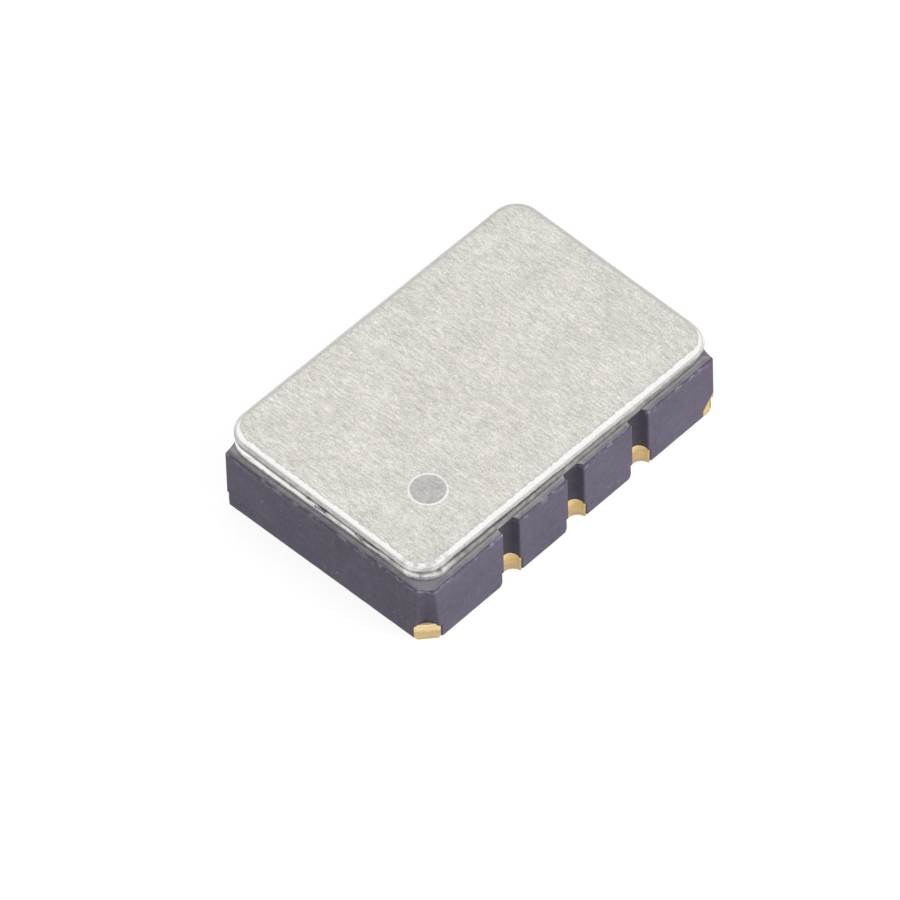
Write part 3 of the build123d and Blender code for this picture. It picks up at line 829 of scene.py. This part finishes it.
def lid_paint():
    p = Paint("lid_metal")

    # The brushed top and the dot's dull floor.
    streaks = p.noise((58, 12, 40), 3, 0.6, 0.5)
    fine = p.noise((120, 48, 80), 2, 0.6)
    lumps = p.noise(26, 3, 0.6)
    pit = p.attribute("pit")
    flat = p.tint(p.noise(3.2, 3), (0.735, 0.708, 0.666), (0.803, 0.774, 0.732))
    flat = p.shade(flat, p.ramp(streaks, (0.26, 0.74), (0.5, 0.97), (0.72, 1.20)))
    flat = p.shade(flat, p.ramp(fine, (0.28, 0.76), (0.72, 1.20)))
    flat = p.over(flat, pit, 0.5, p.tint(lumps, 0.28, 0.62))

    # Where it is polished: the rim, with a ragged edge, and the burr round the dot, which is drawn
    # wider on the near side as a painted highlight.
    uneven = p.times(p.math("SUBTRACT", p.noise(28, 2), 0.5), 0.9)
    ragged = p.math("ADD", p.attribute("rim"), uneven)
    flat = p.mix(p.ramp(ragged, (0.2, 0.0), (0.5, 0.30)), flat, (0.36, 0.35, 0.34))
    dot = np.array(DOT_ON_LID) @ LID_ROTATION + LID_CENTRE
    radius = DOT_DIAMETER / 2
    away = p.away(*dot)
    lean = p.math("ADD", p.axis("X"), p.axis("Y"))
    wide = p.span(lean, dot.sum() + 0.4 * radius, dot.sum() - radius,
                  radius + 0.004, radius + 0.020)
    burr_and_highlight = p.span(p.math("SUBTRACT", away, wide), 0.004, -0.002)
    burr_and_highlight = p.times(burr_and_highlight, p.span(away, radius - 0.009, radius - 0.004))
    polish = p.math("MAXIMUM", p.ramp(ragged, (0.50, 0.0), (0.66, 1.0)), p.times(burr_and_highlight, 0.9))

    # The polished metal, painted brighter as a highlight near two edges and the dot, and the weld
    # on its side, partly darkened as painted shade.
    # Painted highlight: near-white polished metal near the two near edges and round the dot, grey
    # polished metal elsewhere.
    on_end = p.span(p.axis("X"), LID_LOW[0] + 0.28, LID_LOW[0] + 0.12)
    on_side = p.span(p.axis("Y"), LID_LOW[1] + 0.30, LID_LOW[1] + 0.14)
    at_dot = p.span(away, DOT_DIAMETER, DOT_DIAMETER * 0.8)
    near = p.math("MAXIMUM", p.math("MAXIMUM", on_end, on_side), at_dot)
    highlight_colour = p.tint(lumps, (0.93, 0.92, 0.90), (0.99, 0.985, 0.975))
    smooth = p.mix(near, (0.70, 0.685, 0.665), highlight_colour)
    rough_corner = p.span(p.away(LID_LOW[0] + 0.10, LID_LOW[1] + 0.12), 0.30, 0.14)
    # The side band: a real weld, its colour darkened as painted shade.
    weld_and_shade = p.tint(p.noise((14, 14, 40), 3, 0.65), (0.36, 0.35, 0.34), (0.66, 0.65, 0.63))
    weld_and_shade = p.over(weld_and_shade, rough_corner, 0.6, (0.90, 0.89, 0.87))
    side = p.mix(on_side, p.attribute("side"), p.attribute("foot"))
    smooth = p.mix(side, smooth, weld_and_shade)
    knocks = p.ramp(p.noise(16, 3, 0.7), (0.38, 1.0), (0.56, 0.0))
    smooth = p.over(smooth, p.times(rough_corner, knocks), 0.5, (0.26, 0.255, 0.24))
    # The seam rows are painted dark: a dark joint and painted contact shade where the parts meet.
    seam = p.times(p.attribute("seam"), p.span(rough_corner, 0.0, 1.0, 1.0, 0.2))
    smooth = p.mix(seam, smooth, (0.16, 0.155, 0.15))

    rough = p.math("ADD", p.vary(streaks, 0.32, 0.48), p.times(pit, 0.15))
    shiny = p.math("ADD", p.span(near, 0.0, 1.0, 0.34, 0.17), p.times(side, 0.22))
    p.set(Base_Color=p.mix(polish, flat, smooth), Metallic=1.0,
          Roughness=p.mix(polish, rough, shiny))
    dents = p.times(p.noise(12, 3, 0.6), p.span(rough_corner, 0.0, 1.0, 0.5, 2.5))
    p.bump((p.mix(polish, streaks, dents), 0.0030), (p.mix(polish, fine, 0.5), 0.0012))
    return p.material


def ring_paint():
    p = Paint("ring_metal")
    height = RING_HIGH[2] - RING_LOW[2]
    # Painted light: near-white on the ring's ends above a line that sits higher on the near side,
    # broken by streaks, as a painted highlight; a darker grey along the sides as painted shade.
    far = p.span(p.axis("Y"), -0.75, 0.75)
    foot = p.span(far, 0.0, 1.0, RING_LOW[2] + 0.65 * height, RING_LOW[2] + 0.10 * height)
    above = p.span(p.math("SUBTRACT", p.axis("Z"), foot), -0.12 * height, 0.12 * height)
    on_end = p.span(p.math("ABSOLUTE", p.axis("X")), END - 0.20, END - 0.10)
    on_end = p.times(on_end, p.times(above, p.span(far, 0.0, 1.0, 0.45, 1.0)))
    streaks = p.noise((9, 4.5, 70), 3, 0.6, 0.5)
    breaks = p.math("SUBTRACT", streaks, p.span(far, 0.0, 1.0, 0.10, 0.0))
    highlight_colour = p.ramp(breaks, (0.33, (0.08, 0.075, 0.07)), (0.39, (0.80, 0.79, 0.77)),
                    (0.5, (0.99, 0.985, 0.975)))
    dull_and_shaded = p.tint(p.noise(16, 3), (0.27, 0.26, 0.255), (0.50, 0.49, 0.485))
    melted = p.ramp(p.noise(15, 3, 0.65), (0.34, (0.30, 0.295, 0.28)), (0.5, (0.74, 0.73, 0.71)),
                    (0.7, (0.92, 0.91, 0.89)))
    corner = p.span(p.away(RING_LOW[0] + 0.12, RING_LOW[1] + 0.12), 0.34, 0.16)
    tone = p.mix(corner, p.mix(on_end, dull_and_shaded, highlight_colour), melted)
    # The seam rows are painted dark: a dark joint and painted contact shade where the parts meet.
    seam = p.times(p.attribute("seam"), p.span(corner, 0.0, 1.0, 1.0, 0.2))
    tone = p.mix(seam, tone, (0.13, 0.125, 0.12))
    p.set(Base_Color=tone, Metallic=1.0,
          Roughness=p.mix(on_end, 0.5, p.vary(streaks, 0.36, 0.12)))
    p.bump((streaks, 0.0015))
    return p.material


def film_paint():
    p = Paint("seal_metal")
    patches = p.noise(9, 3, 0.6)
    from_end = p.math("SUBTRACT", END, p.math("ABSOLUTE", p.axis("X")))
    from_side = p.math("SUBTRACT", SIDE, p.math("ABSOLUTE", p.axis("Y")))
    out = p.math("MINIMUM", from_end, from_side)
    out = p.math("ADD", out, p.vary(patches, -0.012, 0.012))
    # Lighter towards the ring and darker outwards: painted light that undoes the shade under the
    # ring.
    inner = p.span(out, FILM_MARGIN, FILM_MARGIN + 0.045)
    tone = p.mix(inner, (0.128, 0.117, 0.140), (0.345, 0.328, 0.335))
    front = p.span(p.away(-END + 0.10, -SIDE + 0.10), 0.34, 0.14)
    right = p.span(p.away(END - 0.08, -SIDE + 0.12), 0.20, 0.10)
    tone = p.over(tone, p.math("MAXIMUM", front, right), 0.8, (0.140, 0.127, 0.155))
    p.set(Base_Color=tone, Metallic=0.1, Roughness=p.vary(patches, 0.68, 0.55))
    p.bump((patches, 0.002))
    return p.material


def gold_paint():
    p = Paint("gold_plating")
    lines = p.noise((6, 6, 45), 3, 0.6, 0.4)
    mottle = p.noise(16, 3)
    # The upright plating is darker towards the foot; at the corner terminals it is lighter above a
    # ragged line, a painted highlight.
    upright = p.mix(p.span(p.axis("Z"), 0.0, BASE_TOP + WICK_HEIGHT),
                    (0.54, 0.386, 0.200), (0.69, 0.505, 0.220))
    level = p.math("ADD", p.axis("Z"), p.vary(mottle, -0.008, 0.008))
    at_corner = p.mix(p.span(level, 0.095, 0.115), (0.58, 0.428, 0.210), (0.79, 0.605, 0.330))
    upright = p.mix(p.span(p.math("ABSOLUTE", p.axis("X")), 1.40, 1.45), upright, at_corner)
    upright = p.shade(upright, p.tint(lines, 0.88, 1.12))
    # Painted highlight: faces that look up get a lighter gold than upright ones.
    painted_top_light = p.mix(lines, (0.76, 0.60, 0.34), (0.87, 0.69, 0.41))
    facing = p.add("ShaderNodeSeparateXYZ")
    p.link(p.add("ShaderNodeNewGeometry").outputs["Normal"], facing.inputs[0])
    tone = p.mix(p.span(facing.outputs["Z"], 0.35, 0.8), upright, painted_top_light)
    p.set(Base_Color=p.shade(tone, p.tint(mottle, 0.92, 1.08)),
          Metallic=p.span(p.axis("Z"), BASE_TOP * 0.9, BASE_TOP, 0.75, 0.3),
          Roughness=p.vary(mottle, 0.42, 0.56))
    p.bump((lines, 0.003), (p.noise(60, 3), 0.0012))
    return p.material


def wire_paint():
    p = Paint("gold_wire")
    drawn = p.noise(50, 3)
    p.set(Base_Color=p.tint(drawn, (0.78, 0.54, 0.19), (0.90, 0.68, 0.30)), Metallic=1.0,
          Roughness=p.vary(drawn, 0.18, 0.32))
    p.bump((drawn, 0.0008))
    return p.material


def silicon_paint():
    p = Paint("silicon")
    blocks = p.cells((11, 11, 1), "F1", "Color")
    lanes = p.ramp(p.cells((11, 11, 1), "DISTANCE_TO_EDGE"), (0.02, 1.0), (0.06, 0.0))
    grey = p.mix(0.25, (0.085, 0.095, 0.125), blocks)
    tone = p.mix(0.75, grey, (0.075, 0.085, 0.115))
    p.set(Base_Color=p.mix(lanes, tone, (0.30, 0.29, 0.26)), Metallic=0.35,
          Roughness=p.vary(p.noise(30), 0.14, 0.28))
    p.bump((lanes, 0.0015))
    return p.material


def quartz_paint():
    p = Paint("quartz")
    etch = p.noise((6, 30, 30), 3)
    p.set(Base_Color=p.tint(etch, (0.80, 0.83, 0.84), (0.92, 0.94, 0.94)), IOR=1.54,
          Transmission_Weight=0.55, Roughness=p.vary(etch, 0.08, 0.25))
    p.bump((etch, 0.001))
    return p.material


def glue_paint(name, dark, light, metal):
    p = Paint(name)
    lumps = p.noise(18, 4, 0.6)
    flakes = p.cells(60)
    shine = p.ramp(flakes, (0.1, 0.7), (0.4, 0.0))
    p.set(Base_Color=p.mix(shine, p.tint(lumps, dark, light), light), Metallic=metal,
          Roughness=p.vary(lumps, 0.4, 0.65))
    p.bump((lumps, 0.003), (flakes, 0.001))
    return p.material


# Pieces

make_ceramic(ceramic_paint())
make_film(film_paint())
make_ring(ring_paint())
make_lid(lid_paint())
gold = gold_paint()
for number in range(1, 11):
    make_gold(number, gold)

inside = {
    "clock_die": silicon_paint(),
    "tuning_fork_crystal": quartz_paint(),
    "die_adhesive": glue_paint("die_glue", (0.10, 0.095, 0.09), (0.24, 0.23, 0.22), 0.0),
    "crystal_adhesive": glue_paint("silver_glue", (0.34, 0.33, 0.32), (0.62, 0.61, 0.59), 0.6),
    "crystal_contact": gold,
    "bond_wire": wire_paint(),
}
for name, node in frame["nodes"].items():
    for start, material in inside.items():
        if name.startswith(start):
            node.data.materials.clear()
            node.data.materials.append(material)


# Floor, light and camera

FLOOR_REACH, FLOOR_HEIGHT = 0.6, -2e-6  # metres
FLOOR_GLOW = 0.84
# Brightness of the surroundings from the horizon up, as (height, grey).
SKY = ((0.0, 0.35), (0.10, 0.50), (0.32, 0.95), (1.0, 1.0))


def make_floor():
    mesh = bpy.data.meshes.new("floor")
    corners = [(x * FLOOR_REACH, y * FLOOR_REACH, FLOOR_HEIGHT)
               for x, y in ((-1, -1), (1, -1), (1, 1), (-1, 1))]
    mesh.from_pydata(corners, [], [(0, 1, 2, 3)])
    floor = bpy.data.objects.new("floor", mesh)
    bpy.context.scene.collection.objects.link(floor)
    p = Paint("floor_paper")
    p.set(Base_Color=p.tint(p.noise(0.6, 3), 0.17, 0.18), Roughness=0.9,
          Emission_Color=(1, 1, 1, 1), Emission_Strength=FLOOR_GLOW)
    mesh.materials.append(p.material)


def make_world():
    world = bpy.data.worlds.new("studio")
    bpy.context.scene.world = world
    world.use_nodes = True
    tree = world.node_tree
    coords = tree.nodes.new("ShaderNodeTexCoord")
    split = tree.nodes.new("ShaderNodeSeparateXYZ")
    ramp = tree.nodes.new("ShaderNodeValToRGB")
    tree.links.new(coords.outputs["Generated"], split.inputs[0])
    tree.links.new(split.outputs["Z"], ramp.inputs["Fac"])
    elements = ramp.color_ramp.elements
    while len(elements) < len(SKY):
        elements.new(0.5)
    for element, (height, grey) in zip(elements, SKY):
        element.position = height
        element.color = (grey, grey, grey, 1)
    background = tree.nodes["Background"]
    tree.links.new(ramp.outputs["Color"], background.inputs["Color"])
    background.inputs["Strength"].default_value = 1.0


def direction(azimuth, elevation):
    """The way from the object to a light or camera, angles in radians."""
    return Vector((math.sin(azimuth) * math.cos(elevation),
                   -math.cos(azimuth) * math.cos(elevation), math.sin(elevation)))


def area_light(name, azimuth, elevation, distance, size, radiance):
    """A soft light aimed at the object, by its brightness. Lengths in metres, angles in degrees."""
    back = direction(math.radians(azimuth), math.radians(elevation))
    light = bpy.data.lights.new(name, "AREA")
    light.shape = "SQUARE"
    light.size = size
    light.energy = radiance * math.pi * size * size
    thing = bpy.data.objects.new(name, light)
    thing.location = back * distance
    thing.rotation_mode = "QUATERNION"
    thing.rotation_quaternion = (-back).to_track_quat("-Z", "Y")
    thing.visible_glossy = False
    bpy.context.scene.collection.objects.link(thing)


# The camera as fitted to the photo: where it stands and looks, its scale in pixels per millimetre
# at the pivot, and how far the picture's middle lies off the pivot.
AZIMUTH, ELEVATION, ROLL = (math.radians(x) for x in (-45.08, 50.71, -2.0))
PIVOT = Vector((0, 0, 0.45))
DISTANCE = 150.0
PIXEL_SCALE = 117.19
OFF_ACROSS, OFF_UP = 0.1667, 0.3034
IMAGE_WIDTH = 900
SENSOR_WIDTH = 36


def make_camera():
    back = direction(AZIMUTH, ELEVATION)
    level = Vector((math.cos(AZIMUTH), math.sin(AZIMUTH), 0))
    rise = back.cross(level)
    right = math.cos(ROLL) * level + math.sin(ROLL) * rise
    up = -math.sin(ROLL) * level + math.cos(ROLL) * rise
    spot = (PIVOT + back * DISTANCE - right * OFF_ACROSS - up * OFF_UP) * MM
    camera = bpy.data.cameras.new("camera")
    camera.sensor_width = SENSOR_WIDTH
    camera.lens = PIXEL_SCALE * DISTANCE * SENSOR_WIDTH / IMAGE_WIDTH
    camera.clip_start, camera.clip_end = 0.001, 10
    thing = bpy.data.objects.new("camera", camera)
    turn = Matrix((right, up, back)).transposed().to_4x4()
    thing.matrix_world = Matrix.Translation(spot) @ turn
    bpy.context.scene.collection.objects.link(thing)
    bpy.context.scene.camera = thing


make_floor()
make_world()
area_light("right_front", azimuth=30, elevation=28, distance=0.25, size=0.22, radiance=4.4)
make_camera()
bpy.context.scene.view_settings.view_transform = "Standard"
